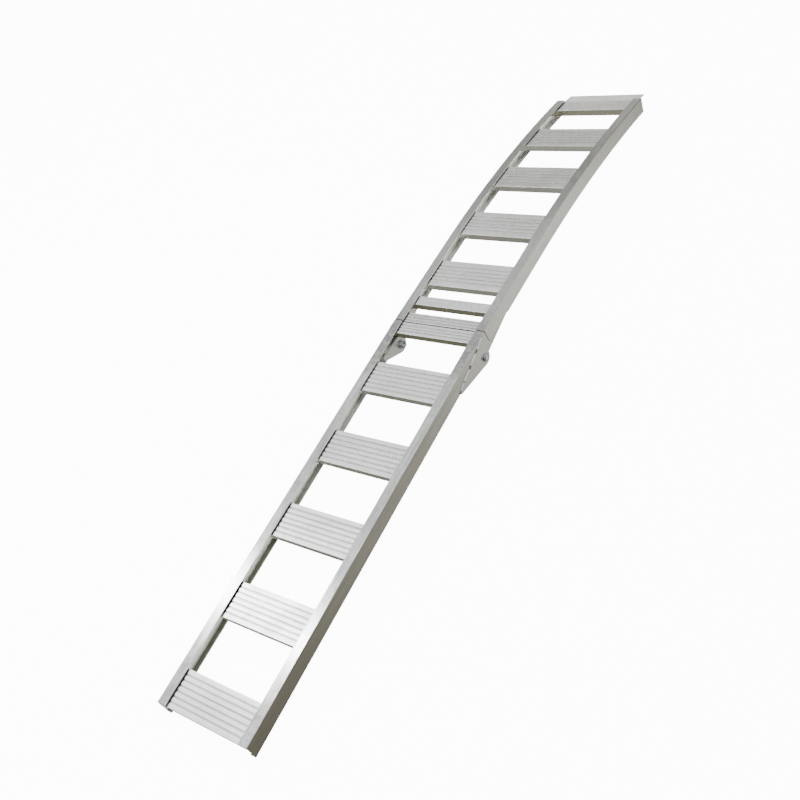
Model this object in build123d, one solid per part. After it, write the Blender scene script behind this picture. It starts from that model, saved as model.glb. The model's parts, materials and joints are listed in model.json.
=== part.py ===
from build123d import *
import math
import os

# Folding loading ramp: one arched runner in two hinged, welded aluminium sections.
# Units are millimetres. Everything is drawn in the fold frame: X across, Y towards the lip,
# Z up, with the lower section level, the fold seam at Y = 0 and the rail tops at Z = 0.
# The whole ramp is then tilted to stand on its foot and its top end, and moved so that the
# origin is the centre of its footprint.

# Driving dimensions: rails
WIDTH = 300.0
RAIL_HEIGHT = 46.0
WALL = 3.0
TOP_FLANGE = 28.0
BOTTOM_FLANGE = 18.0
OUTER_ROUND = 2.0
INNER_ROUND = 2.0
TIP_ROUND = 0.8
SIDE_PLAY = 0.4

# Driving dimensions: sections
LOWER_LENGTH = 1178.0
FOOT_LEAN = 4.0
UPPER_LENGTH = 1058.0
UPPER_STRAIGHT = 312.0
UPPER_RADIUS = 3860.0
UPPER_BREAK = 2.0
SEAM_HALF_GAP = 1.5

# Driving dimensions: rungs, with centres measured along the section from the fold seam
RUNG_WIDTH = 98.0
RUNG_HEIGHT = 20.0
RUNG_DROP = 5.5
SKIN = 3.0
LEG = 2.5
TOE = 8.0
RIB = 2.0
GROOVE_DEPTH = 1.2
GROOVE_WIDTH = 4.4
GROOVE_FLOOR = 3.0
RUNG_ROUND = 1.2
LOWER_GROOVES = 6
UPPER_GROOVES = 5
GROOVE_PITCH = 13.9
LOWER_RUNGS = (194.0, 426.0, 658.0, 891.0, 1129.0)
UPPER_RUNGS = (193.0, 401.0, 620.0, 831.0)
FOLD_RUNG_LOWER = 40.0
FOLD_RUNG_UPPER = 34.0
FOLD_RUNG_SET_BACK = 1.5
FOLD_RUNG_GROOVES = 3
FOLD_RUNG_PITCH = 10.0
CROSS_BAR_WIDTH = 33.0
CROSS_BAR_CENTRE = 83.0
END_RUNG_WIDTH = 60.0

# Driving dimensions: lip plate
LIP_WIDTH = 260.0
LIP_THICK = 5.0
LIP_TAIL = 30.0
LIP_REACH = 59.0
LIP_BEND = 5.0
LIP_BEVEL = 3.0

# Driving dimensions: hinge, in the fold frame
PIVOT_Y = -44.5
PIVOT_Z = -53.0
PLATE = 4.0
OUTER_EYE = 23.0
INNER_EYE = 25.0
LUG_EYE = 14.5
INNER_PLATE_X = 128.0
NOTCH_LOWER = 92.0
NOTCH_UPPER = 113.0
STOP_GAP = 0.3

# Driving dimensions: M12 hardware
BOLT_RADIUS = 6.0
HOLE_PLAY = 0.08
HEX_FLATS = 18.0
HEAD_HEIGHT = 7.5
BOLT_CHAMFER = 1.0
BOLT_END_X = 110.5
WASHER_RADIUS = 12.0
WASHER_HOLE = 6.5
WASHER_THICK = 2.5
NUT_HEIGHT = 12.0
NUT_HEX_HEIGHT = 9.0
NUT_COLLAR = 8.2
SPACER_RADIUS = 9.5

# Derived sizes
HALF = WIDTH / 2
UPPER_HALF = HALF - SIDE_PLAY
UPPER_ARC = math.degrees((UPPER_LENGTH - UPPER_STRAIGHT) / UPPER_RADIUS)
LUG_OUTER_X = UPPER_HALF - WALL
LUG_INNER_X = LUG_OUTER_X - PLATE
RUNG_TOP = -RUNG_DROP
RUNG_FOOT = -RUNG_DROP - RUNG_HEIGHT


def upper_place(distance):
    """Location of the upper section's top line at a distance from the seam: Y forward, Z normal."""
    start = math.radians(UPPER_BREAK)
    straight = min(distance, UPPER_STRAIGHT)
    turn = max(distance - UPPER_STRAIGHT, 0.0) / UPPER_RADIUS
    y = straight * math.cos(start) + UPPER_RADIUS * (math.sin(start + turn) - math.sin(start))
    z = -straight * math.sin(start) + UPPER_RADIUS * (math.cos(start + turn) - math.cos(start))
    return Pos(0, y, z) * Rot(-math.degrees(start + turn), 0, 0)


def lower_place(distance):
    """Location of the lower section's top line at a distance from the seam."""
    return Pos(0, -distance, 0)


def channel_profile(half_width):
    """C-channel with its web on the outside at local x = -half_width and its top at local y = 0."""
    out = -half_width
    web = out + WALL
    low = -RAIL_HEIGHT
    points = [
        (out, 0),
        (out + TOP_FLANGE, 0),
        (out + TOP_FLANGE, -WALL),
        (web, -WALL),
        (web, low + WALL),
        (out + BOTTOM_FLANGE, low + WALL),
        (out + BOTTOM_FLANGE, low),
        (out, low),
    ]
    rounds = [OUTER_ROUND, TIP_ROUND, TIP_ROUND, INNER_ROUND, INNER_ROUND, TIP_ROUND, TIP_ROUND, OUTER_ROUND]
    return make_face(FilletPolyline(*points, radius=rounds, close=True))


def flange_notch(half_width, near, far):
    """Block that clears the bottom flange between two Y positions, for the hinge parts to pass."""
    inner = half_width - WALL - INNER_ROUND
    tall = WALL + INNER_ROUND + 3.0
    block = Box(inner, far - near, tall, align=(Align.MIN, Align.MIN, Align.MIN))
    return Pos(0, near, -RAIL_HEIGHT - 3.0) * block


def lower_rail():
    """Straight left rail, its foot end leaning so that the bottom reaches further than the top."""
    rail = extrude(Plane.XZ * channel_profile(HALF), amount=LOWER_LENGTH + 2 * FOOT_LEAN)
    lean = math.degrees(math.atan2(FOOT_LEAN, RAIL_HEIGHT))
    past_foot = Box(2 * WIDTH, 100, 200, align=(Align.CENTER, Align.MAX, Align.CENTER))
    rail -= Pos(0, -LOWER_LENGTH, 0) * Rot(-lean, 0, 0) * past_foot
    rail -= Box(2 * WIDTH, 2 * SEAM_HALF_GAP, 200)
    rail -= Pos(-HALF, 0, 0) * flange_notch(HALF, -NOTCH_LOWER, 0)
    return rail


def upper_rail():
    """Right rail: straight from the fold, then bent down to an arc, the profile swept along it."""
    start = math.radians(UPPER_BREAK)
    tangent = (math.cos(start), -math.sin(start))
    lead = 10.0
    first = (-lead * tangent[0], -lead * tangent[1])
    bend = (UPPER_STRAIGHT * tangent[0], UPPER_STRAIGHT * tangent[1])
    path = Line(first, bend) + JernArc(bend, tangent, UPPER_RADIUS, -UPPER_ARC)
    begin = Plane((0, first[0], first[1]), x_dir=(-1, 0, 0), z_dir=(0, tangent[0], tangent[1]))
    rail = sweep(begin * channel_profile(UPPER_HALF), path=Plane.YZ * path)
    notch = mirror(flange_notch(UPPER_HALF, -20, NOTCH_UPPER), about=Plane.YZ)
    rail -= Rot(-UPPER_BREAK, 0, 0) * Pos(UPPER_HALF, 0, 0) * notch
    behind_seam = Box(2 * WIDTH, 50, 200, align=(Align.CENTER, Align.MAX, Align.CENTER))
    return rail - Pos(0, SEAM_HALF_GAP, 0) * behind_seam


def plank_profile(width, grooves, pitch, ribs, far_leg=True):
    """Section of a rung: grooved skin, turned-down edges with toes, and inner ribs, top at y = 0."""
    half = width / 2
    shape = Pos(0, -SKIN / 2) * Rectangle(width, SKIN)
    edges = (-1, 1) if far_leg else (-1,)
    for side in edges:
        shape += Pos(side * (half - LEG / 2), -RUNG_HEIGHT / 2) * Rectangle(LEG, RUNG_HEIGHT)
        shape += Pos(side * (half - TOE / 2), LEG / 2 - RUNG_HEIGHT) * Rectangle(TOE, LEG)
    for rib in ribs:
        shape += Pos(rib, -RUNG_HEIGHT / 2) * Rectangle(RIB, RUNG_HEIGHT)
    top = [v for v in shape.vertices() if abs(v.Y) < 0.01]
    shape = fillet(top, RUNG_ROUND)
    for i in range(grooves):
        x = (i - (grooves - 1) / 2) * pitch
        cut = Polyline(
            (x - GROOVE_WIDTH / 2, 0.5),
            (x - GROOVE_WIDTH / 2, 0),
            (x - GROOVE_FLOOR / 2, -GROOVE_DEPTH),
            (x + GROOVE_FLOOR / 2, -GROOVE_DEPTH),
            (x + GROOVE_WIDTH / 2, 0),
            (x + GROOVE_WIDTH / 2, 0.5),
            close=True,
        )
        shape -= make_face(cut)
    return shape


def rung(half_width, profile):
    """Extrude a rung section between the two rail webs."""
    reach = half_width - WALL
    return Pos(0, 0, RUNG_TOP) * extrude(Plane.YZ * profile, amount=reach, both=True)


def main_rung(half_width, grooves):
    """Wide plank with two ribs under its skin."""
    third = RUNG_WIDTH / 6
    return rung(half_width, plank_profile(RUNG_WIDTH, grooves, GROOVE_PITCH, (-third, third)))


def fold_rung(half_width, width):
    """Narrow plank beside the fold seam."""
    return rung(half_width, plank_profile(width, FOLD_RUNG_GROOVES, FOLD_RUNG_PITCH, ()))


def end_rung():
    """Plain plank at the top end, open on its far side for the lip plate."""
    profile = plank_profile(END_RUNG_WIDTH, 0, 1.0, (-LIP_TAIL / 4,), far_leg=False)
    return rung(UPPER_HALF, profile)


def lip_place():
    """Location where the lip leaves the end rung, at the underside of its skin."""
    return upper_place(UPPER_LENGTH - END_RUNG_WIDTH / 2) * Pos(0, END_RUNG_WIDTH / 2, RUNG_TOP - SKIN)


def lip_plate():
    """Plate tucked under the end rung's skin, then bent down a little and bevelled at its far edge."""
    bend = math.radians(LIP_BEND)
    tip_y = LIP_REACH * math.cos(bend)
    tip_z = -LIP_REACH * math.sin(bend)
    down_y = -LIP_THICK * math.sin(bend)
    down_z = -LIP_THICK * math.cos(bend)
    bevel_y = LIP_BEVEL * math.cos(bend)
    bevel_z = -LIP_BEVEL * math.sin(bend)
    outline = Polyline(
        (-LIP_TAIL, 0),
        (0, 0),
        (tip_y - bevel_y, tip_z - bevel_z),
        (tip_y + down_y * 0.6, tip_z + down_z * 0.6),
        (tip_y + down_y, tip_z + down_z),
        (down_y / 2, -LIP_THICK),
        (-LIP_TAIL, -LIP_THICK),
        close=True,
    )
    return extrude(Plane.YZ * make_face(outline), amount=LIP_WIDTH / 2, both=True)


def hinge_plate(corners, inner_x):
    """Flat plate on the right side: the hull of round corners (y, z, radius), drilled at the pivot."""
    rounds = [Pos(y, z) * Circle(radius) for y, z, radius in corners]
    outline = make_hull([edge for circle in rounds for edge in circle.edges()])
    plate = extrude(Plane.YZ * outline, amount=PLATE)
    return Pos(inner_x, 0, 0) * plate - pivot_rod(0, 2 * WIDTH, BOLT_RADIUS + HOLE_PLAY)


def pivot_rod(start_x, end_x, radius):
    """Cylinder on the pivot line between two X positions."""
    disc = Plane.YZ * (Pos(PIVOT_Y, PIVOT_Z) * Circle(radius))
    return Pos(start_x, 0, 0) * extrude(disc, amount=end_x - start_x)


def pivot_ring(start_x, end_x, outer, inner):
    """Washer or sleeve on the pivot line."""
    return pivot_rod(start_x, end_x, outer) - pivot_rod(start_x - 1, end_x + 1, inner)


def pivot_hex(start_x, end_x):
    """Hexagon prism on the pivot line with its outer corners turned off."""
    flats = RegularPolygon(HEX_FLATS / 2, 6, major_radius=False)
    prism = Pos(start_x, 0, 0) * extrude(Plane.YZ * (Pos(PIVOT_Y, PIVOT_Z) * flats), amount=end_x - start_x)
    middle = (start_x + end_x) / 2
    turned = pivot_rod(start_x, middle, HEX_FLATS)
    crown = pivot_rod(middle, end_x, HEX_FLATS / 2 * 1.12)
    crown = chamfer(crown.edges().filter_by(GeomType.CIRCLE).group_by(Axis.X)[-1], 1.2)
    return prism & (turned + crown)


def outer_hinge_plate():
    """Tapered plate on the outside of the lower rail."""
    corners = (
        (PIVOT_Y, PIVOT_Z, OUTER_EYE),
        (-19.0, -6.0, 2.0),
        (-146.0, -34.5, 2.0),
        (-173.5, -43.0, 2.5),
    )
    return hinge_plate(corners, HALF)


def inner_hinge_plate():
    """Plate against the edge of the lower rail's bottom flange and under the fold rung."""
    corners = (
        (PIVOT_Y, PIVOT_Z, INNER_EYE),
        (-23.0, RUNG_FOOT - 3.0, 3.0),
        (-118.0, RUNG_FOOT - 3.0, 3.0),
        (-117.0, -36.0, 3.0),
    )
    return hinge_plate(corners, INNER_PLATE_X)


def upper_lug():
    """Lug inside the upper rail's web, reaching to the pivot; its top edge stops under the fold rung."""
    corners = (
        (PIVOT_Y, PIVOT_Z, LUG_EYE),
        (-4.0, RUNG_FOOT - STOP_GAP - 3.0, 3.0),
        (106.0, RUNG_FOOT - 8.0, 3.0),
        (108.0, -46.0, 3.0),
    )
    return hinge_plate(corners, LUG_INNER_X)


def hinge_bolt():
    """Hex bolt with its head outside, seen on the right side."""
    head_x = HALF + PLATE
    shank = pivot_rod(BOLT_END_X, head_x, BOLT_RADIUS)
    shank = chamfer(shank.edges().filter_by(GeomType.CIRCLE).group_by(Axis.X)[0], BOLT_CHAMFER)
    return shank + pivot_hex(head_x, head_x + HEAD_HEIGHT)


def lock_nut():
    """Nut with a round nylon collar, facing the middle of the ramp."""
    face_x = INNER_PLATE_X - WASHER_THICK
    nut = Pos(2 * face_x, 0, 0) * mirror(pivot_hex(face_x, face_x + NUT_HEX_HEIGHT), about=Plane.YZ)
    nut += pivot_rod(face_x - NUT_HEIGHT, face_x - NUT_HEX_HEIGHT, NUT_COLLAR)
    return nut - pivot_rod(0, WIDTH, BOLT_RADIUS)


def washer():
    """Washer under the nut."""
    return pivot_ring(INNER_PLATE_X - WASHER_THICK, INNER_PLATE_X, WASHER_RADIUS, WASHER_HOLE)


def spacer():
    """Sleeve between the inner hinge plate and the lug."""
    return pivot_ring(INNER_PLATE_X + PLATE, LUG_INNER_X - SIDE_PLAY, SPACER_RADIUS, WASHER_HOLE)


def both_sides(solid):
    """A right-hand solid and its mirror image."""
    return [solid, mirror(solid, about=Plane.YZ)]


def pair(name, right):
    """Right and left nodes made from the right-hand solid."""
    return {name + "_right": [right], name + "_left": [mirror(right, about=Plane.YZ)]}


def make_nodes():
    """Every node as a list of solids, in the fold frame."""
    nodes = {}
    nodes.update(pair("lower_rail", mirror(lower_rail(), about=Plane.YZ)))
    for i, centre in enumerate(LOWER_RUNGS):
        nodes[f"lower_rung_{i + 1}"] = [lower_place(centre) * main_rung(HALF, LOWER_GROOVES)]
    fold_centre = FOLD_RUNG_SET_BACK + FOLD_RUNG_LOWER / 2
    nodes["lower_fold_rung"] = [lower_place(fold_centre) * fold_rung(HALF, FOLD_RUNG_LOWER)]
    nodes.update(pair("outer_hinge_plate", outer_hinge_plate()))
    nodes.update(pair("inner_hinge_plate", inner_hinge_plate()))
    nodes["hinge_bolts"] = both_sides(hinge_bolt())
    nodes["hinge_lock_nuts"] = both_sides(lock_nut())
    nodes["hinge_washers"] = both_sides(washer())
    nodes["hinge_spacers"] = both_sides(spacer())

    nodes.update(pair("upper_rail", upper_rail()))
    fold_centre = FOLD_RUNG_SET_BACK + FOLD_RUNG_UPPER / 2
    nodes["upper_fold_rung"] = [upper_place(fold_centre) * fold_rung(UPPER_HALF, FOLD_RUNG_UPPER)]
    bar = rung(UPPER_HALF, plank_profile(CROSS_BAR_WIDTH, 0, 1.0, ()))
    nodes["upper_cross_bar"] = [upper_place(CROSS_BAR_CENTRE) * bar]
    for i, centre in enumerate(UPPER_RUNGS):
        nodes[f"upper_rung_{i + 1}"] = [upper_place(centre) * main_rung(UPPER_HALF, UPPER_GROOVES)]
    nodes["upper_end_rung"] = [upper_place(UPPER_LENGTH - END_RUNG_WIDTH / 2) * end_rung()]
    nodes["lip_plate"] = [lip_place() * lip_plate()]
    nodes.update(pair("upper_hinge_lug", upper_lug()))
    return nodes


def standing_tilt():
    """Angle about X that puts the foot and the top end's lower corner at the same height."""
    foot = Vector(0, -LOWER_LENGTH - FOOT_LEAN, -RAIL_HEIGHT)
    top = (upper_place(UPPER_LENGTH) * Pos(0, 0, -RAIL_HEIGHT)).position
    return math.degrees(math.atan2(foot.Z - top.Z, top.Y - foot.Y))


def main():
    os.makedirs("parts", exist_ok=True)
    nodes = make_nodes()
    tilt = Rot(standing_tilt(), 0, 0)
    everything = Compound([tilt * solid for solids in nodes.values() for solid in solids])
    box = everything.bounding_box()
    place = Pos(0, -(box.min.Y + box.max.Y) / 2, -box.min.Z) * tilt
    for name, solids in nodes.items():
        placed = [place * solid for solid in solids]
        shape = placed[0] if len(placed) == 1 else Compound(placed)
        export_step(shape, f"parts/{name}.step")

    print(f"size {box.size.X:.1f} x {box.size.Y:.1f} x {box.size.Z:.1f}, tilt {standing_tilt():.3f} degrees")
    report = {
        "pivot": Pos(0, PIVOT_Y, PIVOT_Z),
        "seam": Pos(0, 0, 0),
        "foot underside": lower_place(LOWER_RUNGS[-1]) * Pos(HALF - BOTTOM_FLANGE / 2, 0, -RAIL_HEIGHT),
        "lip underside": lip_underside(),
    }
    for name, location in report.items():
        point = (place * location).position
        print(f"{name}: {point.X:.3f} {point.Y:.3f} {point.Z:.3f}")


def lip_underside():
    """Middle of the bent part of the lip plate's lower face."""
    return lip_place() * Rot(-LIP_BEND, 0, 0) * Pos(0, LIP_REACH / 2, -LIP_THICK)


main()
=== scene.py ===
import json
import math
import random
from collections import namedtuple

import bmesh
import bpy
from mathutils import Matrix, Vector

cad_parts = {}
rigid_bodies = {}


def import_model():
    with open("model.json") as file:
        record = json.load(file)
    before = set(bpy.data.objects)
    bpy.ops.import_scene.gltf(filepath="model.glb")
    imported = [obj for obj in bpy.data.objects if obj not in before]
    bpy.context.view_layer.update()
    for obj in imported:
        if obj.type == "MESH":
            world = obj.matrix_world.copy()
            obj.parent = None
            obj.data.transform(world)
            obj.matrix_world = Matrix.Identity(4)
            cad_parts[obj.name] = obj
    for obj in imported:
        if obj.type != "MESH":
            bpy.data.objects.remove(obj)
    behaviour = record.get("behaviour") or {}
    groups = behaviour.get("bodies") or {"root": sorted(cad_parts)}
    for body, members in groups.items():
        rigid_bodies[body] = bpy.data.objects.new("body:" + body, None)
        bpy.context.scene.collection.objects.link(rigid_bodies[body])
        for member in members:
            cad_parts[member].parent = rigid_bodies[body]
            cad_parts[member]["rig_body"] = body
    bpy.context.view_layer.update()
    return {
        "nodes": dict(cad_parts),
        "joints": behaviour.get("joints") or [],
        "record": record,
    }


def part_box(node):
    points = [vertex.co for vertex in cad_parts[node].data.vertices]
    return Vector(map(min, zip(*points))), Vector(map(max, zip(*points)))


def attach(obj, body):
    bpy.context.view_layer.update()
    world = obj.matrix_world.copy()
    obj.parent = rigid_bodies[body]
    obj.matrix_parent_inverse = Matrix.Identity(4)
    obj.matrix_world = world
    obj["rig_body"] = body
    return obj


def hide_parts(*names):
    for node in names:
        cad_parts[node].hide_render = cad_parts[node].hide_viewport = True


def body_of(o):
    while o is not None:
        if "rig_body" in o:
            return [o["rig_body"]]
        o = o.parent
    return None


# Folding loading ramp: finished meshes, welds, hardware and procedural metal around the CAD frame.
# Everything is in metres. "Fold frame" means: Y forward from the fold seam along the lower
# section's rail tops, Z normal to them, as the section stands at rest.

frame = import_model()

# Y at which the lip comes out from the end rung
LIP_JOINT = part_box("upper_end_rung")[1][1]

# Driving dimensions shared with the design
PIVOT_BEHIND_SEAM = 0.0445
PIVOT_UNDER_TOP = 0.053
HALF_WIDTH = 0.150
WEB = 0.003
SIDE_PLAY = 0.0004
RUNG_WIDTH = 0.098
RUNG_HEIGHT = 0.020
RUNG_DROP = 0.0055
LOWER_RUNGS = (0.194, 0.426, 0.658, 0.891, 1.129)
UPPER_RUNGS = (0.193, 0.401, 0.620, 0.831)
FOLD_RUNG_LOWER = 0.040
FOLD_RUNG_SET_BACK = 0.0015
CROSS_BAR_WIDTH = 0.033
CROSS_BAR_CENTRE = 0.083
END_RUNG_WIDTH = 0.060
PLAIN_RUNGS = ("lower_fold_rung", "upper_fold_rung", "upper_cross_bar", "upper_end_rung")
UPPER_LENGTH = 1.058
UPPER_STRAIGHT = 0.312
UPPER_RADIUS = 3.860
UPPER_BREAK = math.radians(2.0)
PLATE = 0.004
INNER_PLATE_X = 0.128

# M12 hardware
BOLT_RADIUS = 0.006
THREAD_PITCH = 0.00175
THREAD_DEPTH = 0.0009
HEX_APOTHEM = 0.009
HEAD_HEIGHT = 0.0075
HEAD_SEAT_STEP = 0.0003
WASHER_THICK = 0.0025
WASHER_RADIUS = 0.012
WASHER_HOLE = 0.0065
NUT_HEX_HEIGHT = 0.009
NUT_HEIGHT = 0.012
NUT_COLLAR = 0.0082
BOLT_END_X = 0.1105
SPACER_RADIUS = 0.0095
TURN_STEPS = 72
HEX_CHAMFER_STEPS = 6
SMALL_STEP = 0.0004
SPACER_EDGE = 0.0006
RING_ROUNDING = 0.3
BOLT_TURNS = (12, -20)
NUT_TURNS = (8, 20)
ROUND_TURNS = (0, 0)

# Hexagons, as shares: radii of the hexagon's own, seat depth of its height, chamfer depth of its cut
HEX_SEAT = 0.97
HEX_FACE = 0.93
HEX_SEAT_DEPTH = 0.06
HEX_CHAMFER_SLOPE = 0.55
HEAD_RIM, HEAD_RIM_INSIDE, HEAD_DISH = 0.88, 0.80, 0.72
NUT_SEAT = 0.95

# Bolt end and thread
BOLT_POINT = 0.78
BOLT_POINT_LENGTH = 0.0012
THREAD_STATIONS = 8
THREAD_CREST = 0.95

# Lock nut: its bore's play, and the rolled rim as (back from the end, in from the collar's radius)
BORE_PLAY = 0.0001
COLLAR_RIM = ((0.0012, 0.0), (0.0004, 0.0003), (0.0, 0.0011), (0.0002, 0.0016), (0.0012, 0.0018))
NYLON_FROM, NYLON_TO = 0.0003, 0.0014
NYLON_INSET = 0.0017
NYLON_PLAY = 0.00005
NYLON_EDGE = 0.0002

# Mesh finishing
MERGE_DISTANCE = 1e-6
COPLANAR = math.radians(0.15)
SHARP = math.radians(28)
EXTRUSION_BEVEL = 0.00035
PLATE_BEVEL = 0.0005

# Weld beads: size, ripples, and how the size changes along a bead to its least size at the ends
WELD_SEED = 7
WELD_LEG = 0.0045
WELD_STEP = 0.0004
WELD_ARC = 7
WELD_FLATTENED = 0.17
WELD_RIPPLE = 0.0019
WELD_RIPPLE_DEPTH = 0.09
WELD_RIPPLE_LEAN = 0.45
WELD_DRIFT = 0.07
WELD_DRIFT_LENGTH = 0.011
WELD_JITTER = 0.015
WELD_LARGEST_PHASE = 6.28
WELD_END_SQUARED = 0.02

# Where the beads run: short of the rung's top and bottom, and in rows along the hinge pieces' top
# edges, which are (Y, Z) points in the fold frame
WELD_UNDER_TOP = 0.0015
WELD_OVER_BOTTOM = 0.001
HINGE_WELD_LEG = 0.0034
LONG_BEAD = 0.038
SHORT_BEAD = 0.026
SHORTEST_SHARE = 0.94
PLATE_BEAD_GAP = 0.004
LUG_BEAD_GAP = 0.009
PLATE_TOP_LINE = ((-0.0190, -0.0041), (-0.1464, -0.0326), (-0.1735, -0.0408))
LUG_TOP_LINE = ((0.040, -0.02775), (0.104, -0.03050))

# Tones
# Painted reflection tint of the outer webs
OUTER_WEB_PAINTED_TINT = (0.64, 0.635, 0.56, 1.0)
# Painted light of the inner webs
INNER_WEB_PAINTED_LIGHT = (0.84, 0.86, 0.80, 1.0)
# Painted shade of the outer webs towards the foot
OUTER_WEB_PAINTED_SHADE = (0.38, 0.36, 0.28, 1.0)
FLANGE_STREAK = (0.30, 0.305, 0.245, 1.0)
# Painted shade of the lower shelves
SHELF_PAINTED_SHADE = (0.12, 0.12, 0.085, 1.0)
LIT_SHELF = (0.90, 0.90, 0.84, 1.0)
# Painted shade of the rung faces turned to the foot
GROOVED_FRONT_SHADE = (0.62, 0.62, 0.52, 1.0)
PLAIN_FRONT_SHADE = (0.40, 0.39, 0.28, 1.0)
ZINC_SHADED = (0.50, 0.58, 0.62, 1.0)
ZINC_BRIGHT = (0.70, 0.76, 0.77, 1.0)
# Painted shade in the corners of the zinc hardware
ZINC_CORNER_SHADE = (0.05, 0.055, 0.05, 1.0)
ZINC_RUBBED = (0.86, 0.90, 0.92, 1.0)
NYLON_DEEP = (0.16, 0.34, 0.36, 1.0)
NYLON_PALE = (0.24, 0.44, 0.46, 1.0)

# Stretches of Y over which a mark comes or goes, from and to
# Painted shade of the outer webs, towards the foot
OUTER_WEB_SHADE_STRETCH = (-1.15, 0.0)
STREAK_STRETCH = (-0.05, 0.4)
# Painted shade of the lower shelves
SHELF_SHADE_STRETCH = (-0.7, -0.15)
LIT_WEB_STRETCH = (-1.0, 0.9)
LIT_SHELF_STRETCH = (-0.25, 0.15)
# Painted shade at the foot end
FOOT_EDGE_SHADE_STRETCH = (-1.07, -1.08)

# Darker patches by the hinge: their middle in Y, and the distances from it over which they fade
HINGE_DARKENING_MIDDLE = -0.035
HINGE_DARKENING_FADE = (0.02, 0.17)

# Corner distances over which painted shade reaches into corners, grooves and shelves
SHELF_REACH = 0.045
EXTRUSION_CORNER = 0.005
PLATE_CORNER = 0.007
WELD_CORNER = 0.0025
ZINC_CORNER = 0.003

# Camera, from the viewing angle of the reference view
CAMERA_PLACE = (1.57325, -1.35553, 1.83062)
CAMERA_TURN = (43.409, 22.607, 31.691)
CAMERA_LENS = 45.02
CAMERA_SENSOR = 36.0

# Ceiling strip light, mirrored by both flanges near the foot
STRIP_PLACE = (-2.03, -0.448, 2.40)
STRIP_AIM = (0.0, -0.86, 0.06)
STRIP_ALONG_RAMP = 0.22
STRIP_ACROSS_RAMP = 1.2
STRIP_POWER = 24.0

# Surroundings: a centre direction, then glow at each cosine from it
CEILING = ((-0.45, -0.35, 0.82), (
    (-1.00, (0.30, 0.295, 0.26)),
    (-0.25, (0.25, 0.245, 0.20)),
    (0.00, (0.32, 0.32, 0.29)),
    (0.35, (0.60, 0.60, 0.58)),
    (0.60, (1.20, 1.20, 1.20)),
    (0.75, (1.55, 1.56, 1.59)),
    (1.00, (1.40, 1.42, 1.47)),
))
FAR_FLOOR = ((0.50, 0.60, -0.62), (
    (0.8600, (0.0, 0.0, 0.0)),
    (0.9735, (0.24, 0.24, 0.22)),
    (0.9870, (0.38, 0.38, 0.36)),
    (0.9950, (0.76, 0.76, 0.74)),
    (1.0000, (1.10, 1.10, 1.08)),
))
FAR_WALL = ((-0.46, 0.885, 0.07), (
    (0.930, (0.0, 0.0, 0.0)),
    (0.985, (0.42, 0.42, 0.42)),
    (1.000, (1.30, 1.30, 1.30)),
))
SIDE_WINDOW = ((0.66, 0.525, 0.54), (
    (0.90, (0.0, 0.0, 0.0)),
    (0.97, (1.5, 1.5, 1.5)),
    (1.00, (2.6, 2.6, 2.6)),
))
WORLD_STRENGTH = 3.0
FLOOR_GLOW = 12.0
FLOOR_REACH = 14.0
FLOOR_CELLS = 8
BACKDROP_RADIUS = 13.0
BACKDROP_BOTTOM = -0.5
BACKDROP_HEIGHT = 14.0

Marks = namedtuple("Marks", "lines bands cloud mottle scuffs")


# ---------------------------------------------------------------- fold frame

def seam_matrix():
    """Fold frame to row frame, from the joint's pivot and the foot's resting face."""
    mounts = {mount["name"]: mount for mount in frame["record"]["mounts"]}
    normal = mounts["ground_foot_right"]["axis"]
    tilt = Matrix.Rotation(math.atan2(normal[1], -normal[2]), 4, "X")
    pivot = Vector(frame["joints"][0]["pos_m"])
    return Matrix.Translation(pivot) @ tilt @ Matrix.Translation((0, PIVOT_BEHIND_SEAM, PIVOT_UNDER_TOP))


SEAM = seam_matrix()


def lower_place(distance):
    """Frame on the lower section's top line, at a distance from the seam."""
    return SEAM @ Matrix.Translation((0, -distance, 0))


def upper_place(distance):
    """Frame on the upper section's top line: straight from the seam, then an arc."""
    straight = min(distance, UPPER_STRAIGHT)
    turn = max(distance - UPPER_STRAIGHT, 0.0) / UPPER_RADIUS
    angle = UPPER_BREAK + turn
    y = straight * math.cos(UPPER_BREAK) + UPPER_RADIUS * (math.sin(angle) - math.sin(UPPER_BREAK))
    z = -straight * math.sin(UPPER_BREAK) + UPPER_RADIUS * (math.cos(angle) - math.cos(UPPER_BREAK))
    return SEAM @ Matrix.Translation((0, y, z)) @ Matrix.Rotation(-angle, 4, "X")


# ---------------------------------------------------------------- materials

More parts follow.
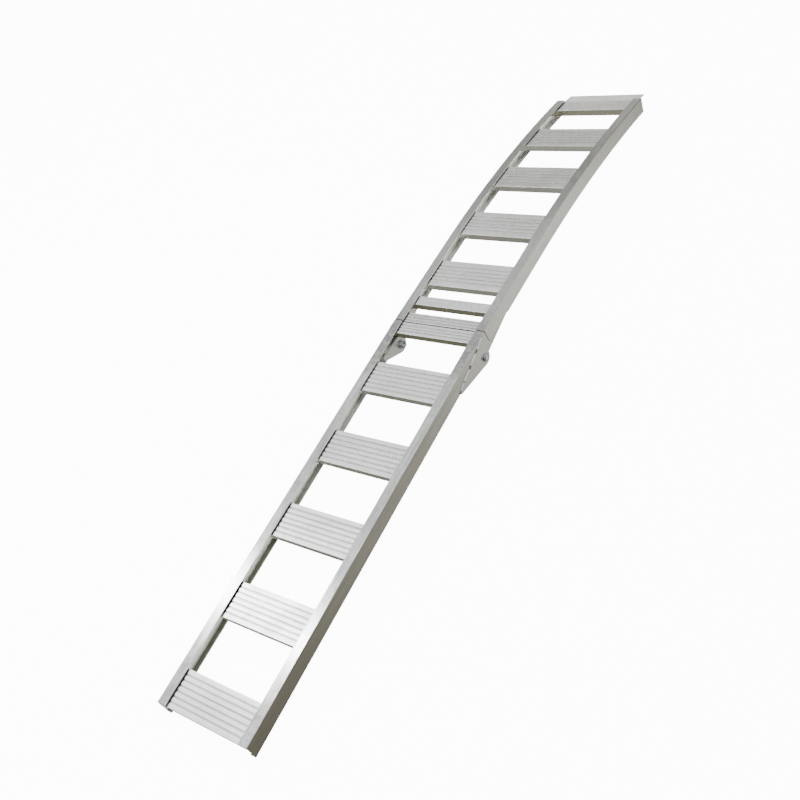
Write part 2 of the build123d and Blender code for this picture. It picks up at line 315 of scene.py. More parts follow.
class Metal:
    """Builds one procedural material from object-space noise."""

    def __init__(self, name):
        self.material = bpy.data.materials.new(name)
        self.material.use_nodes = True
        self.nodes = self.material.node_tree.nodes
        self.links = self.material.node_tree.links
        self.shader = self.nodes["Principled BSDF"]
        self.place = self.nodes.new("ShaderNodeTexCoord").outputs["Object"]

    def feed(self, socket, value):
        """Links an output to a socket, or sets a plain value on it."""
        if isinstance(value, bpy.types.NodeSocket):
            self.links.new(value, socket)
        else:
            socket.default_value = value

    def noise(self, stretch, detail=3.0, roughness=0.55, turn=(0, 0, 0)):
        """Noise whose cells measure 1/stretch metres along each axis."""
        mapping = self.nodes.new("ShaderNodeMapping")
        mapping.inputs["Scale"].default_value = stretch
        mapping.inputs["Rotation"].default_value = turn
        self.links.new(self.place, mapping.inputs["Vector"])
        noise = self.nodes.new("ShaderNodeTexNoise")
        noise.inputs["Scale"].default_value = 1.0
        noise.inputs["Detail"].default_value = detail
        noise.inputs["Roughness"].default_value = roughness
        self.links.new(mapping.outputs["Vector"], noise.inputs["Vector"])
        return noise.outputs["Fac"]

    def span(self, value, low, high, to_low=0.0, to_high=1.0):
        """Maps a range to another, clamped and smooth."""
        node = self.nodes.new("ShaderNodeMapRange")
        node.interpolation_type = "SMOOTHSTEP"
        self.feed(node.inputs["Value"], value)
        node.inputs["From Min"].default_value = low
        node.inputs["From Max"].default_value = high
        node.inputs["To Min"].default_value = to_low
        node.inputs["To Max"].default_value = to_high
        return node.outputs["Result"]

    def math(self, operation, a, b=None):
        """Result of a math operation on one or two values."""
        node = self.nodes.new("ShaderNodeMath")
        node.operation = operation
        self.feed(node.inputs[0], a)
        if b is not None:
            self.feed(node.inputs[1], b)
        return node.outputs["Value"]

    def mix(self, factor, a, b):
        """Colour mix."""
        node = self.nodes.new("ShaderNodeMix")
        node.data_type = "RGBA"
        self.feed(node.inputs["Factor"], factor)
        self.feed(node.inputs["A"], a)
        self.feed(node.inputs["B"], b)
        return node.outputs["Result"]

    def crevice(self, distance):
        """1 in open surface, towards 0 in corners and grooves."""
        node = self.nodes.new("ShaderNodeAmbientOcclusion")
        node.samples = 4
        node.inputs["Distance"].default_value = distance
        return node.outputs["AO"]

    def worn_edge(self, radius):
        """1 on convex edges, 0 on flats."""
        bevel = self.nodes.new("ShaderNodeBevel")
        bevel.samples = 4
        bevel.inputs["Radius"].default_value = radius
        geometry = self.nodes.new("ShaderNodeNewGeometry")
        dot = self.nodes.new("ShaderNodeVectorMath")
        dot.operation = "DOT_PRODUCT"
        self.links.new(bevel.outputs["Normal"], dot.inputs[0])
        self.links.new(geometry.outputs["Normal"], dot.inputs[1])
        return self.span(dot.outputs["Value"], 0.995, 0.93)

    def axes(self, vector):
        """The three components of a vector output."""
        node = self.nodes.new("ShaderNodeSeparateXYZ")
        self.links.new(vector, node.inputs["Vector"])
        return [node.outputs[axis] for axis in "XYZ"]

    def normal_axes(self):
        """The surface normal in the piece's own frame."""
        return self.axes(self.nodes.new("ShaderNodeTexCoord").outputs["Normal"])

    def bump(self, height, distance, strength, under=None):
        """Normal that follows a height, on top of an earlier normal if there is one."""
        node = self.nodes.new("ShaderNodeBump")
        node.inputs["Strength"].default_value = strength
        node.inputs["Distance"].default_value = distance
        self.feed(node.inputs["Height"], height)
        if under is not None:
            self.links.new(under, node.inputs["Normal"])
        return node.outputs["Normal"]

    def finish(self, color, roughness, normal):
        """Connects the shader and hands over the material."""
        self.feed(self.shader.inputs["Base Color"], color)
        self.feed(self.shader.inputs["Roughness"], roughness)
        self.feed(self.shader.inputs["Normal"], normal)
        return self.material


def grey(value, warmth=0.0):
    """Neutral colour, a little yellower with warmth."""
    return (value * (1 + warmth), value * (1 + warmth * 0.6), value * (1 - warmth), 1.0)


def extrusion_marks(metal, along):
    """Die lines and bands along one axis, cloudy oxide, mottling and crossing scuffs."""
    fine = [1400.0, 1400.0, 1400.0]
    broad = [230.0, 230.0, 230.0]
    fine["XYZ".index(along)] = 7.0
    broad["XYZ".index(along)] = 2.0
    lines = metal.noise(fine, detail=2.0)
    bands = metal.noise(broad, detail=2.0)
    cloud = metal.noise((9.0, 9.0, 9.0), detail=4.0)
    mottle = metal.noise((70.0, 70.0, 70.0), detail=3.0)
    scuff = metal.noise((900.0, 22.0, 400.0), detail=1.0, turn=(0.0, 0.0, 0.6))
    cross = metal.noise((24.0, 1100.0, 400.0), detail=1.0, turn=(0.0, 0.0, 0.25))
    scuffs = metal.math("MAXIMUM", metal.span(scuff, 0.66, 0.74), metal.span(cross, 0.68, 0.76))
    scuffs = metal.math("MULTIPLY", scuffs, metal.span(cloud, 0.45, 0.62))
    return Marks(lines, bands, cloud, mottle, scuffs)


def extrusion_color(metal, marks, light, dark):
    """Banded and mottled oxide between two tones."""
    banded = metal.math("MULTIPLY", marks.bands, 0.6)
    clouded = metal.math("MULTIPLY", marks.cloud, 0.4)
    shade = metal.math("ADD", banded, clouded)
    color = metal.mix(metal.span(shade, 0.38, 0.62), dark, light)
    spots = metal.math("MULTIPLY", metal.span(marks.mottle, 0.50, 0.66), 0.45)
    return metal.mix(spots, color, grey(dark[1] * 0.85, 0.03))


def extrusion_finish(metal, marks, color, smooth, rough, corner_shade, relief, duller=0.0):
    """Painted shade in the corners and grooves, rubbed edges, and roughness and bump that follow the die
    lines.
    """
    full_shade_at, no_shade_at, strength = corner_shade
    # Painted shade: corners, grooves and the gap under the flanges are darkened by occlusion.
    shaded_corners = metal.span(metal.crevice(EXTRUSION_CORNER), full_shade_at, no_shade_at, strength, 0.0)
    color = metal.mix(shaded_corners, color, grey(0.10, 0.06))
    rubbed = metal.span(marks.mottle, 0.35, 0.55, 0.2, 0.8)
    edge = metal.math("MULTIPLY", metal.worn_edge(0.0008), rubbed)
    color = metal.mix(edge, color, grey(0.86))
    lined = metal.math("MULTIPLY", marks.lines, 0.5)
    clouded = metal.math("MULTIPLY", marks.cloud, 0.5)
    roughness = metal.span(metal.math("ADD", lined, clouded), 0.35, 0.65, smooth, rough)
    roughness = metal.math("SUBTRACT", roughness, metal.math("MULTIPLY", marks.scuffs, 0.06))
    roughness = metal.math("ADD", roughness, duller)
    normal = metal.bump(marks.lines, 0.00003, relief)
    normal = metal.bump(marks.scuffs, 0.00005, relief, under=normal)
    return metal.finish(color, roughness, normal)


def rail_facings(metal):
    """Masks for outer web, inner web, upward faces and the sawn ends turned to the foot, the last for painted
    shade.
    """
    normal_x, normal_y, normal_z = metal.normal_axes()
    place_x = metal.axes(metal.place)[0]
    facing_out = metal.math("MULTIPLY", normal_x, place_x)
    web_out = metal.span(facing_out, 0.07, 0.13)
    web_in = metal.span(facing_out, -0.07, -0.13)
    upward = metal.span(normal_z, 0.5, 0.8)
    shaded_foot_end = metal.span(normal_y, -0.8, -0.95, 0.0, 0.85)
    return web_out, web_in, upward, shaded_foot_end


def hinge_darkening(metal, marks, place_y, web_out):
    """Patchy mask round the hinge, on everything but the outer web."""
    from_middle = metal.math("ABSOLUTE", metal.math("SUBTRACT", place_y, HINGE_DARKENING_MIDDLE))
    near = metal.span(from_middle, *HINGE_DARKENING_FADE, 0.9, 0.0)
    patchy = metal.span(marks.mottle, 0.3, 0.6, 0.4, 1.0)
    darkened_by_hinge = metal.math("MULTIPLY", near, patchy)
    return metal.math("MULTIPLY", darkened_by_hinge, metal.span(web_out, 0.0, 1.0, 1.0, 0.0))


def rail_aluminium():
    """Side rails: smooth flanges; painted reflection on the webs, tinted and darker outside towards the foot
    and lighter inside; painted shade on the lower shelves and painted light on the upper ones.
    """
    metal = Metal("rail_aluminium")
    marks = extrusion_marks(metal, "Y")
    place_y = metal.axes(metal.place)[1]
    web_out, web_in, upward, shaded_foot_end = rail_facings(metal)
    color = extrusion_color(metal, marks, grey(0.61), grey(0.43, 0.01))
    # Patchy darkening round the hinge, on all but the outer web.
    color = metal.mix(hinge_darkening(metal, marks, place_y, web_out), color, grey(0.24, 0.01))

    # Painted reflection: the outer web is tinted olive everywhere and darkened towards the foot.
    color = metal.mix(metal.math("MULTIPLY", web_out, 0.45), color, OUTER_WEB_PAINTED_TINT)
    outer_web_shade = metal.math("MULTIPLY", web_out, metal.span(place_y, *OUTER_WEB_SHADE_STRETCH, 0.62, 0.0))
    color = metal.mix(outer_web_shade, color, OUTER_WEB_PAINTED_SHADE)
    # Painted light: the inner web is lightened.
    color = metal.mix(metal.math("MULTIPLY", web_in, 0.8), color, INNER_WEB_PAINTED_LIGHT)

    streaks = metal.math("MULTIPLY", metal.span(marks.bands, 0.46, 0.58),
                         metal.span(place_y, *STREAK_STRETCH, 0.0, 0.5))
    color = metal.mix(metal.math("MULTIPLY", upward, streaks), color, FLANGE_STREAK)
    # Painted shade: upward faces sheltered under the top flange are darkened, most towards the foot.
    shelter = metal.crevice(SHELF_REACH)
    shelf_shade = metal.math("MULTIPLY", metal.span(shelter, 0.65, 0.92, 1.0, 0.0),
                       metal.span(place_y, *SHELF_SHADE_STRETCH, 0.95, 0.15))
    color = metal.mix(metal.math("MULTIPLY", upward, shelf_shade), color, SHELF_PAINTED_SHADE)
    # Painted shade: faces turned to the foot are darkened nearly to black.
    color = metal.mix(shaded_foot_end, color, grey(0.10, 0.03))

    shelf = metal.math("MULTIPLY", upward, metal.span(shelter, 0.75, 0.95, 1.0, 0.0))
    lit_shelf = metal.math("MULTIPLY", shelf, metal.span(place_y, *LIT_SHELF_STRETCH, 0.0, 0.75))
    color = metal.mix(lit_shelf, color, LIT_SHELF)
    lit_web = metal.math("MULTIPLY", web_in, metal.span(place_y, *LIT_WEB_STRETCH, 0.27, 0.10))
    # The painted-light shares of the inner web and the upper shelves are made less metallic, so that they
    # catch diffuse light.
    lit_diffuse_share = metal.math("ADD", lit_web, lit_shelf)
    metal.feed(metal.shader.inputs["Metallic"], metal.math("SUBTRACT", 1.0, lit_diffuse_share))
    duller = metal.math("MULTIPLY", shelf, 0.25)
    return extrusion_finish(metal, marks, color, 0.12, 0.24, (0.50, 0.94, 0.55), 0.25, duller)


def rung_aluminium(name, light, dark, front_shade_tone, front_shade_share):
    """Rungs: lines across the section, with painted shade on the face turned to the foot."""
    metal = Metal(name)
    metal.shader.inputs["Metallic"].default_value = 1.0
    marks = extrusion_marks(metal, "X")
    color = extrusion_color(metal, marks, light, dark)
    normal_y = metal.normal_axes()[1]
    place_y = metal.axes(metal.place)[1]
    # Painted shade: the face turned to the foot is darker and more olive.
    front_shade = metal.span(normal_y, -0.55, -0.9, 0.0, front_shade_share)
    color = metal.mix(front_shade, color, front_shade_tone)
    # Painted shade: at the foot end that face goes nearly black.
    foot_edge_shade = metal.math("MULTIPLY", metal.span(normal_y, -0.55, -0.9),
                           metal.span(place_y, *FOOT_EDGE_SHADE_STRETCH))
    color = metal.mix(foot_edge_shade, color, grey(0.08, 0.02))
    return extrusion_finish(metal, marks, color, 0.24, 0.38, (0.80, 0.99, 0.95), 0.5)


def plate_aluminium():
    """Sheared plate: faint rolling grain, scuffs, painted shade in its corners, and a brighter lip with a
    painted shadow line in its joint.
    """
    metal = Metal("plate_aluminium")
    metal.shader.inputs["Metallic"].default_value = 1.0
    grain = metal.noise((60.0, 500.0, 900.0), detail=3.0)
    cloud = metal.noise((18.0, 18.0, 18.0), detail=4.0)
    scuff = metal.noise((700.0, 1200.0, 26.0), detail=1.0, turn=(0.5, 0.0, 0.0))
    scuffs = metal.span(scuff, 0.64, 0.74)
    color = metal.mix(metal.span(cloud, 0.38, 0.64), grey(0.74, 0.015), grey(0.88, 0.01))
    past_rung = metal.math("SUBTRACT", metal.axes(metal.place)[1], LIP_JOINT)
    color = metal.mix(metal.span(past_rung, 0.0, 0.004, 0.0, 0.8), color, grey(0.97))
    # Painted shade in the corners, and a painted shadow line on the lip where it meets the end rung.
    corner_shade = metal.span(metal.crevice(PLATE_CORNER), 0.50, 0.93, 0.9, 0.0)
    joint_shadow_line = metal.math("MULTIPLY", metal.span(past_rung, -0.001, 0.0),
                             metal.span(past_rung, 0.004, 0.007, 1.0, 0.0))
    corner_shade = metal.math("MAXIMUM", corner_shade, joint_shadow_line)
    color = metal.mix(corner_shade, color, grey(0.12, 0.05))
    edge = metal.worn_edge(0.0010)
    color = metal.mix(metal.math("MULTIPLY", edge, 0.7), color, grey(0.84))
    roughness = metal.span(cloud, 0.35, 0.65, 0.30, 0.46)
    roughness = metal.math("SUBTRACT", roughness, metal.math("MULTIPLY", scuffs, 0.1))
    normal = metal.bump(grain, 0.00004, 0.4)
    normal = metal.bump(scuffs, 0.00005, 0.5, under=normal)
    return metal.finish(color, roughness, normal)


def weld_aluminium():
    """Weld bead: bright satin metal with painted shade in its valleys."""
    metal = Metal("weld_aluminium")
    metal.shader.inputs["Metallic"].default_value = 1.0
    grain = metal.noise((900.0, 900.0, 900.0), detail=3.0)
    cloud = metal.noise((120.0, 120.0, 120.0), detail=2.0)
    color = metal.mix(metal.span(cloud, 0.35, 0.65), grey(0.76, 0.01), grey(0.92))
    # Painted shade in the bead's valleys and along its toes.
    crevice_shade = metal.span(metal.crevice(WELD_CORNER), 0.30, 0.7, 0.5, 0.0)
    color = metal.mix(crevice_shade, color, grey(0.10, 0.05))
    roughness = metal.span(grain, 0.35, 0.65, 0.24, 0.42)
    return metal.finish(color, roughness, metal.bump(grain, 0.00006, 0.5))


def zinc_steel():
    """Bright zinc plate with a faint blue cast, small dull spots and painted shade in its corners."""
    metal = Metal("zinc_steel")
    metal.shader.inputs["Metallic"].default_value = 1.0
    grain = metal.noise((1200.0, 1200.0, 1200.0), detail=2.0)
    cloud = metal.noise((160.0, 160.0, 160.0), detail=3.0)
    color = metal.mix(metal.span(cloud, 0.38, 0.62), ZINC_SHADED, ZINC_BRIGHT)
    # Painted shade in the corners of heads, nuts and washers.
    crevice_shade = metal.span(metal.crevice(ZINC_CORNER), 0.3, 0.8, 0.7, 0.0)
    color = metal.mix(crevice_shade, color, ZINC_CORNER_SHADE)
    edge = metal.worn_edge(0.0006)
    color = metal.mix(metal.math("MULTIPLY", edge, 0.6), color, ZINC_RUBBED)
    roughness = metal.span(cloud, 0.35, 0.65, 0.16, 0.34)
    return metal.finish(color, roughness, metal.bump(grain, 0.00002, 0.4))


def nylon():
    """Moulded ring in the lock nuts."""
    metal = Metal("nylon")
    cloud = metal.noise((300.0, 300.0, 300.0), detail=2.0)
    color = metal.mix(cloud, NYLON_DEEP, NYLON_PALE)
    roughness = metal.span(cloud, 0.3, 0.7, 0.32, 0.48)
    return metal.finish(color, roughness, metal.bump(cloud, 0.00003, 0.3))


def floor_paper():
    """Plain pale sheet with a very faint grain, glowing so that it renders white."""
    paper = Metal("floor_paper")
    grain = paper.noise((60.0, 60.0, 60.0), detail=2.0)
    color = paper.mix(grain, grey(0.93), grey(0.95))
    paper.shader.inputs["Emission Color"].default_value = (1.0, 1.0, 1.0, 1.0)
    paper.shader.inputs["Emission Strength"].default_value = FLOOR_GLOW
    return paper.finish(color, 0.9, paper.bump(grain, 0.0001, 0.2))


RAIL = rail_aluminium()
GROOVED_RUNG = rung_aluminium("grooved_rung_aluminium", grey(0.88), grey(0.72, 0.01), GROOVED_FRONT_SHADE, 0.5)
PLAIN_RUNG = rung_aluminium("plain_rung_aluminium", grey(0.86), grey(0.68, 0.01), PLAIN_FRONT_SHADE, 0.85)
PLATES = plate_aluminium()
WELD = weld_aluminium()
ZINC = zinc_steel()
NYLON = nylon()


# ---------------------------------------------------------------- meshes

def new_piece(name, mesh_bm, body, slot, *materials):
    """Makes an object from a bmesh, smooth-shaded with sharp corners, riding on a body."""
    bmesh.ops.recalc_face_normals(mesh_bm, faces=mesh_bm.faces)
    mesh = bpy.data.meshes.new(name)
    mesh_bm.to_mesh(mesh)
    mesh_bm.free()
    for material in materials:
        mesh.materials.append(material)
    mesh.polygons.foreach_set("use_smooth", [True] * len(mesh.polygons))
    mesh.set_sharp_from_angle(angle=SHARP)
    piece = bpy.data.objects.new(name, mesh)
    bpy.context.scene.collection.objects.link(piece)
    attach(piece, body)
    return piece


def bridged(made, first, second):
    """Quads that join two closed rings of vertices."""
    count = len(first)
    faces = []
    for k in range(count):
        following = (k + 1) % count
        faces.append(made.faces.new((first[k], first[following], second[following], second[k])))
    return faces


def finished_node(node, bevel, slot, material):
    """A CAD node's own shape with rounded edges, standing for the node."""
    made = bmesh.new()
    made.from_mesh(frame["nodes"][node].data)
    bmesh.ops.remove_doubles(made, verts=made.verts, dist=MERGE_DISTANCE)
    bmesh.ops.dissolve_limit(made, angle_limit=COPLANAR, verts=made.verts, edges=made.edges)
    for face in made.faces:
        face.material_index = 0
    body = body_of(frame["nodes"][node])[0]
    piece = new_piece(f"{node}_finished", made, body, slot, material)
    rounding = piece.modifiers.new("rounded_edges", "BEVEL")
    rounding.width = bevel
    rounding.segments = 2
    rounding.limit_method = "ANGLE"
    rounding.angle_limit = SHARP
    flats = piece.modifiers.new("flat_faces_stay_flat", "WEIGHTED_NORMAL")
    flats.mode = "FACE_AREA"
    flats.weight = 100
    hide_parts(node)


def finish_cad_nodes():
    """Every aluminium node gets its rounded version and its material."""
    finishes = {
        "rail_aluminium": (EXTRUSION_BEVEL, RAIL),
        "rung_aluminium": (EXTRUSION_BEVEL, GROOVED_RUNG),
        "plate_aluminium": (PLATE_BEVEL, PLATES),
    }
    for part in frame["record"]["subparts"]:
        node, slot = part["node"], part["material_slot"]
        if slot in finishes:
            bevel, material = finishes[slot]
            if node in PLAIN_RUNGS:
                material = PLAIN_RUNG
            finished_node(node, bevel, slot, material)


def add_bead(made, start, end, side_a, side_b, leg, rng):
    """Fillet weld in the corner line from start to end, between surfaces along side_a and side_b."""
    run = end - start
    length = run.length
    forward = run / length
    stations = max(int(length / WELD_STEP), 8)
    phase = rng.uniform(0, WELD_LARGEST_PHASE)
    rings = []
    for i in range(stations + 1):
        along = length * i / stations
        nearest_end = min(along, length - along)
        taper = math.sqrt(max(1 - max(1 - nearest_end / leg, 0) ** 2, WELD_END_SQUARED))
        drift = 1 + WELD_DRIFT * math.sin(along / WELD_DRIFT_LENGTH + phase)
        drift += rng.uniform(-WELD_JITTER, WELD_JITTER)
        ring = []
        for k in range(WELD_ARC + 1):
            angle = math.pi / 2 * k / WELD_ARC
            bulge = math.sin(2 * angle)
            ripple_at = (along - WELD_RIPPLE_LEAN * leg * bulge) / WELD_RIPPLE + phase
            ripple = math.sqrt(abs(math.sin(math.pi * ripple_at)))
            crown = 1 - WELD_FLATTENED * bulge + WELD_RIPPLE_DEPTH * (ripple - 1) * bulge
            reach = leg * taper * drift * crown
            offset = (side_a * math.cos(angle) + side_b * math.sin(angle)) * reach
            ring.append(made.verts.new(start + forward * along + offset))
        ring.append(made.verts.new(start + forward * along))
        rings.append(ring)
    for first, second in zip(rings, rings[1:]):
        bridged(made, first, second)
    made.faces.new(rings[0])
    made.faces.new(list(reversed(rings[-1])))


def rung_welds(name, place, half_width, leg_offsets, body, rng):
    """Short vertical beads where a rung's turned-down edges meet both rail webs."""
    made = bmesh.new()
    turn = place.to_3x3()
    inner = half_width - WEB
    for side in (-1, 1):
        for offset, facing in leg_offsets:
            top = place @ Vector((side * inner, offset, -RUNG_DROP - WELD_UNDER_TOP))
            bottom = place @ Vector((side * inner, offset, -RUNG_DROP - RUNG_HEIGHT + WELD_OVER_BOTTOM))
            into_gap = turn @ Vector((0, facing, 0))
            inward = Vector((-side, 0, 0))
            add_bead(made, bottom, top, inward, into_gap, WELD_LEG, rng)
    new_piece(name, made, body, "rung_aluminium", WELD)


def all_rung_welds(rng):
    """Beads at both edges of each rung, inside the span where nothing else is in the way."""
    half = RUNG_WIDTH / 2
    both = ((-half, -1), (half, 1))
    for i, centre in enumerate(LOWER_RUNGS):
        edges = both if i < len(LOWER_RUNGS) - 1 else both[1:]
        rung_welds(f"lower_rung_{i + 1}_welds", lower_place(centre), HALF_WIDTH, edges, "lower_section", rng)
    upper_half = HALF_WIDTH - SIDE_PLAY
    for i, centre in enumerate(UPPER_RUNGS):
        rung_welds(f"upper_rung_{i + 1}_welds", upper_place(centre), upper_half, both, "upper_section", rng)
    bar = CROSS_BAR_WIDTH / 2
    rung_welds("upper_cross_bar_welds", upper_place(CROSS_BAR_CENTRE), upper_half,
               ((bar, 1), (-bar, -1)), "upper_section", rng)
    end = upper_place(UPPER_LENGTH - END_RUNG_WIDTH / 2)
    rung_welds("upper_end_rung_welds", end, upper_half, ((-END_RUNG_WIDTH / 2, -1),), "upper_section", rng)
    fold = lower_place(FOLD_RUNG_SET_BACK + FOLD_RUNG_LOWER / 2)
    rung_welds("lower_fold_rung_welds", fold, HALF_WIDTH, ((-FOLD_RUNG_LOWER / 2, -1),), "lower_section", rng)


def stitched(made, start, end, side_a, side_b, leg, bead, gap, rng):
    """A row of beads with gaps between them."""
    length = (end - start).length
    forward = (end - start) / length
    count = max(int((length + gap) / (bead + gap)), 1)
    step = (length - count * bead) / max(count - 1, 1)
    for i in range(count):
        first = i * (bead + step)
        last = first + bead * rng.uniform(SHORTEST_SHARE, 1.0)
        add_bead(made, start + forward * first, start + forward * last, side_a, side_b, leg, rng)


def hinge_welds(rng):
    """Beads that hold the hinge plates on the lower rails and the lugs in the upper rails."""
    lower = bmesh.new()
    upper = bmesh.new()
    turn = SEAM.to_3x3()
    plate_runs = tuple(zip(PLATE_TOP_LINE, PLATE_TOP_LINE[1:], (LONG_BEAD, SHORT_BEAD)))
    (lug_y0, lug_z0), (lug_y1, lug_z1) = LUG_TOP_LINE
    for side in (-1, 1):
        outward = Vector((side, 0, 0))
        face = side * HALF_WIDTH
        for (y0, z0), (y1, z1), bead in plate_runs:
            start = SEAM @ Vector((face, y0, z0))
            end = SEAM @ Vector((face, y1, z1))
            above = turn @ Vector((0, z1 - z0, y0 - y1)).normalized()
            stitched(lower, start, end, above, outward, HINGE_WELD_LEG, bead, PLATE_BEAD_GAP, rng)
        lug_face = side * (HALF_WIDTH - SIDE_PLAY - WEB)
        start = SEAM @ Vector((lug_face, lug_y0, lug_z0))
        end = SEAM @ Vector((lug_face, lug_y1, lug_z1))
        above = turn @ Vector((0, lug_z0 - lug_z1, lug_y1 - lug_y0)).normalized()
        stitched(upper, start, end, above, -outward, HINGE_WELD_LEG, SHORT_BEAD, LUG_BEAD_GAP, rng)
    new_piece("hinge_plate_welds", lower, "lower_section", "plate_aluminium", WELD)
    new_piece("hinge_lug_welds", upper, "upper_section", "plate_aluminium", WELD)


# ---------------------------------------------------------------- hardware

def turned(made, stations, closed=True, material=0):
    """Surface round the X axis: stations are (x, function of angle giving radius)."""
    rings = []
    for x, radius in stations:
        ring = []
        for k in range(TURN_STEPS):
            angle = 2 * math.pi * k / TURN_STEPS
            r = radius(angle)
            ring.append(made.verts.new((x, r * math.cos(angle), r * math.sin(angle))))
        rings.append(ring)
    faces = []
    for first, second in zip(rings, rings[1:]):
        faces += bridged(made, first, second)
    if closed:
        faces.append(made.faces.new(rings[0]))
        faces.append(made.faces.new(list(reversed(rings[-1]))))
    for face in faces:
        face.material_index = material
    return rings


def circle(radius):
    """The same radius at every angle."""
    return lambda angle: radius


def hexagon(limit):
    """Radius of the hexagon at an angle, cut by a round chamfer of the given radius."""
    def radius(angle):
        from_flat = (angle % (math.pi / 3)) - math.pi / 6
        return min(HEX_APOTHEM / math.cos(from_flat), limit)
    return radius


def hex_stations(x0, x1):
    """Hexagon between two X positions with its outer corners turned to a cone at x1."""
    corner = HEX_APOTHEM / math.cos(math.pi / 6)
    cut = corner - HEX_APOTHEM * HEX_FACE
    deep = math.copysign(cut * HEX_CHAMFER_SLOPE, x1 - x0)
    stations = [
        (x0, hexagon(corner * HEX_SEAT)),
        (x0 + (x1 - x0) * HEX_SEAT_DEPTH, hexagon(corner)),
        (x1 - deep, hexagon(corner)),
    ]
    for i in range(1, HEX_CHAMFER_STEPS + 1):
        share = i / HEX_CHAMFER_STEPS
        stations.append((x1 - deep * (1 - share), hexagon(corner - cut * share)))
    return stations


def thread(x):
    """Radius of the thread at an angle, for one X position."""
    def radius(angle):
        saw = (x / THREAD_PITCH + angle / (2 * math.pi)) % 1
        return BOLT_RADIUS - THREAD_DEPTH * (1 - abs(2 * saw - 1)) * THREAD_CREST
    return radius


def thread_stations(x0, x1):
    """Helical thread between two X positions."""
    count = int(abs(x1 - x0) / (THREAD_PITCH / THREAD_STATIONS))
    places = [x0 + (x1 - x0) * i / count for i in range(count + 1)]
    return [(x, thread(x)) for x in places]


def bolt(made):
    """Hex head outside, plain shank through the plates, thread past the nut."""
    seat = HALF_WIDTH + PLATE
    head_end = seat + HEAD_HEIGHT
    stations = [(BOLT_END_X, circle(BOLT_RADIUS * BOLT_POINT))]
    stations += thread_stations(BOLT_END_X + BOLT_POINT_LENGTH, INNER_PLATE_X - WASHER_THICK)
    stations += [
        (INNER_PLATE_X, circle(BOLT_RADIUS)),
        (seat - SMALL_STEP, circle(BOLT_RADIUS)),
        (seat, circle(HEX_APOTHEM * HEX_SEAT)),
    ]
    stations += hex_stations(seat + HEAD_SEAT_STEP, head_end - SMALL_STEP)
    stations += [
        (head_end, circle(HEX_APOTHEM * HEAD_RIM)),
        (head_end, circle(HEX_APOTHEM * HEAD_RIM_INSIDE)),
        (head_end - SMALL_STEP, circle(HEX_APOTHEM * HEAD_DISH)),
    ]
    turned(made, stations)


def ring_stations(x0, x1, outer, inner, edge):
    """Ring with rounded outer edges, from its bore at x0 out and back to its bore at x1."""
    part_way = edge * RING_ROUNDING
    return [
        (x0, circle(inner)),
        (x0, circle(outer - edge)),
        (x0 + part_way, circle(outer - part_way)),
        (x0 + edge, circle(outer)),
        (x1 - edge, circle(outer)),
        (x1 - part_way, circle(outer - part_way)),
        (x1, circle(outer - edge)),
        (x1, circle(inner)),
    ]


def bored(made, stations, material=0):
    """Turned surface whose last station joins its first along the bore."""
    rings = turned(made, stations, closed=False, material=material)
    for face in bridged(made, rings[-1], rings[0]):
        face.material_index = material


def ring(made, x0, x1, outer, inner, edge, material=0):
    """Round ring between two X positions, the lower one first."""
    bored(made, ring_stations(x0, x1, outer, inner, edge), material)


def lock_nut(made):
    """Hex nut with a turned collar that holds a nylon ring."""
    seat = INNER_PLATE_X - WASHER_THICK
    hex_top = seat - NUT_HEX_HEIGHT
    collar_top = seat - NUT_HEIGHT
    bore = BOLT_RADIUS + BORE_PLAY
    stations = [(seat, circle(bore)), (seat, circle(HEX_APOTHEM * NUT_SEAT))]
    stations += hex_stations(seat - SMALL_STEP, hex_top)
    stations.append((hex_top, circle(NUT_COLLAR)))
    for back, inset in COLLAR_RIM:
        stations.append((collar_top + back, circle(NUT_COLLAR - inset)))
    stations.append((collar_top + COLLAR_RIM[-1][0], circle(bore)))
    bored(made, stations)
    ring(made, collar_top + NYLON_FROM, collar_top + NYLON_TO, NUT_COLLAR - NYLON_INSET,
         bore + NYLON_PLAY, NYLON_EDGE, 1)


def washer(made):
    """Flat washer under the nut."""
    ring(made, INNER_PLATE_X - WASHER_THICK, INNER_PLATE_X, WASHER_RADIUS, WASHER_HOLE, SMALL_STEP)


def spacer(made):
    """Sleeve between the inner plate and the lug."""
    lug_inside = HALF_WIDTH - SIDE_PLAY - WEB - PLATE - SIDE_PLAY
    ring(made, INNER_PLATE_X + PLATE, lug_inside, SPACER_RADIUS, WASHER_HOLE, SPACER_EDGE)


def hardware(node, build, turns, *materials):
    """One node's hardware on the right side and mirrored on the left, each turned by its own angle."""
    made = bmesh.new()
    pivot = Vector(frame["joints"][0]["pos_m"])
    for side, angle in zip((1, -1), turns):
        one = bmesh.new()
        build(one)
        one.transform(Matrix.Rotation(math.radians(angle), 4, "X"))
        one.transform(Matrix.Scale(side, 4, (1, 0, 0)))
        one.transform(Matrix.Translation(pivot))
        mesh = bpy.data.meshes.new("side")
        one.to_mesh(mesh)
        one.free()
        made.from_mesh(mesh)
        bpy.data.meshes.remove(mesh)
    piece = new_piece(f"{node}_finished", made, "lower_section", "zinc_steel", *materials)
    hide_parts(node)


def all_hardware():
    """Bolts, nuts, washers and spacers of both hinges."""
    hardware("hinge_bolts", bolt, BOLT_TURNS, ZINC)
    hardware("hinge_lock_nuts", lock_nut, NUT_TURNS, ZINC, NYLON)
    hardware("hinge_washers", washer, ROUND_TURNS, ZINC)
    hardware("hinge_spacers", spacer, ROUND_TURNS, ZINC)


# ---------------------------------------------------------------- stage

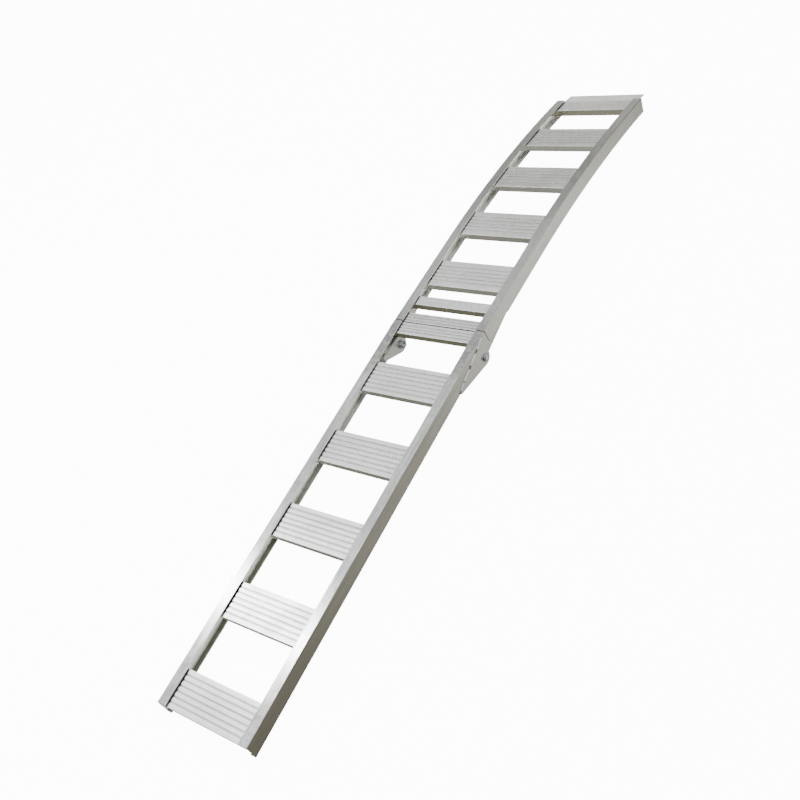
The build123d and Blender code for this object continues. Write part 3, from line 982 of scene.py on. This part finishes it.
def sheet_object(name, made, material):
    """Object from a bmesh, left out of mirror reflections."""
    mesh = bpy.data.meshes.new(name)
    made.to_mesh(mesh)
    made.free()
    mesh.materials.append(material)
    sheet = bpy.data.objects.new(name, mesh)
    bpy.context.scene.collection.objects.link(sheet)
    sheet.visible_glossy = False
    return sheet


def floor(paper):
    """Wide flat sheet under the ramp."""
    made = bmesh.new()
    bmesh.ops.create_grid(made, x_segments=FLOOR_CELLS, y_segments=FLOOR_CELLS, size=FLOOR_REACH)
    sheet = sheet_object("floor", made, paper)


def backdrop(paper):
    """Wall all round, seen only directly, so that side views have no horizon."""
    made = bmesh.new()
    rings = []
    for height in (BACKDROP_BOTTOM, BACKDROP_HEIGHT):
        around = []
        for k in range(TURN_STEPS):
            angle = 2 * math.pi * k / TURN_STEPS
            place = (BACKDROP_RADIUS * math.cos(angle), BACKDROP_RADIUS * math.sin(angle), height)
            around.append(made.verts.new(place))
        rings.append(around)
    bridged(made, *rings)
    wall = sheet_object("backdrop", made, paper)
    wall.visible_diffuse = False
    wall.visible_shadow = False


def direction_term(tree, direction, source):
    """How far each direction of the surroundings agrees with one unit direction, from -1 to 1."""
    dot = tree.nodes.new("ShaderNodeVectorMath")
    dot.operation = "DOT_PRODUCT"
    dot.inputs[1].default_value = Vector(direction).normalized()
    tree.links.new(source, dot.inputs[0])
    return dot.outputs["Value"]


def world_ramp(tree, value, stops):
    """Colour ramp over the cosines from the first stop to the last."""
    first, last = stops[0][0], stops[-1][0]
    span = tree.nodes.new("ShaderNodeMapRange")
    span.inputs["From Min"].default_value = first
    span.inputs["From Max"].default_value = last
    tree.links.new(value, span.inputs["Value"])
    ramp = tree.nodes.new("ShaderNodeValToRGB")
    ramp.color_ramp.interpolation = "EASE"
    elements = ramp.color_ramp.elements
    for cosine, color in stops:
        if cosine == first:
            element = elements[0]
        elif cosine == last:
            element = elements[len(elements) - 1]
        else:
            element = elements.new((cosine - first) / (last - first))
        element.color = (*[channel / WORLD_STRENGTH for channel in color], 1.0)
    tree.links.new(span.outputs["Result"], ramp.inputs["Fac"])
    return ramp.outputs["Color"]


def studio_world():
    """Soft surroundings: each term glows with the agreement between a direction and its centre."""
    world = bpy.data.worlds.new("studio")
    world.use_nodes = True
    tree = world.node_tree
    source = tree.nodes.new("ShaderNodeTexCoord").outputs["Generated"]
    total = None
    for direction, stops in (CEILING, FAR_FLOOR, FAR_WALL, SIDE_WINDOW):
        glow = world_ramp(tree, direction_term(tree, direction, source), stops)
        if total is None:
            total = glow
        else:
            add = tree.nodes.new("ShaderNodeMix")
            add.data_type = "RGBA"
            add.blend_type = "ADD"
            add.inputs["Factor"].default_value = 1.0
            tree.links.new(total, add.inputs["A"])
            tree.links.new(glow, add.inputs["B"])
            total = add.outputs["Result"]
    background = tree.nodes["Background"]
    tree.links.new(total, background.inputs["Color"])
    background.inputs["Strength"].default_value = WORLD_STRENGTH
    bpy.context.scene.world = world


def strip_light():
    """Rectangular area light up on the left, aimed near the foot, its long side across the ramp."""
    data = bpy.data.lights.new("ceiling_strip", "AREA")
    data.shape = "RECTANGLE"
    data.size = STRIP_ALONG_RAMP
    data.size_y = STRIP_ACROSS_RAMP
    data.energy = STRIP_POWER
    lamp = bpy.data.objects.new("ceiling_strip", data)
    lamp.location = STRIP_PLACE
    lamp.rotation_euler = (Vector(STRIP_AIM) - Vector(STRIP_PLACE)).to_track_quat("-Z", "Y").to_euler()
    bpy.context.scene.collection.objects.link(lamp)


def camera():
    """The view that the renders are made from."""
    data = bpy.data.cameras.new("camera")
    data.lens = CAMERA_LENS
    data.sensor_width = CAMERA_SENSOR
    eye = bpy.data.objects.new("camera", data)
    eye.location = CAMERA_PLACE
    eye.rotation_euler = [math.radians(angle) for angle in CAMERA_TURN]
    bpy.context.scene.collection.objects.link(eye)
    bpy.context.scene.camera = eye


def main():
    """The object's pieces, then the stage round them."""
    rng = random.Random(WELD_SEED)
    finish_cad_nodes()
    all_rung_welds(rng)
    hinge_welds(rng)
    all_hardware()
    paper = floor_paper()
    floor(paper)
    backdrop(paper)
    studio_world()
    strip_light()
    camera()


main()
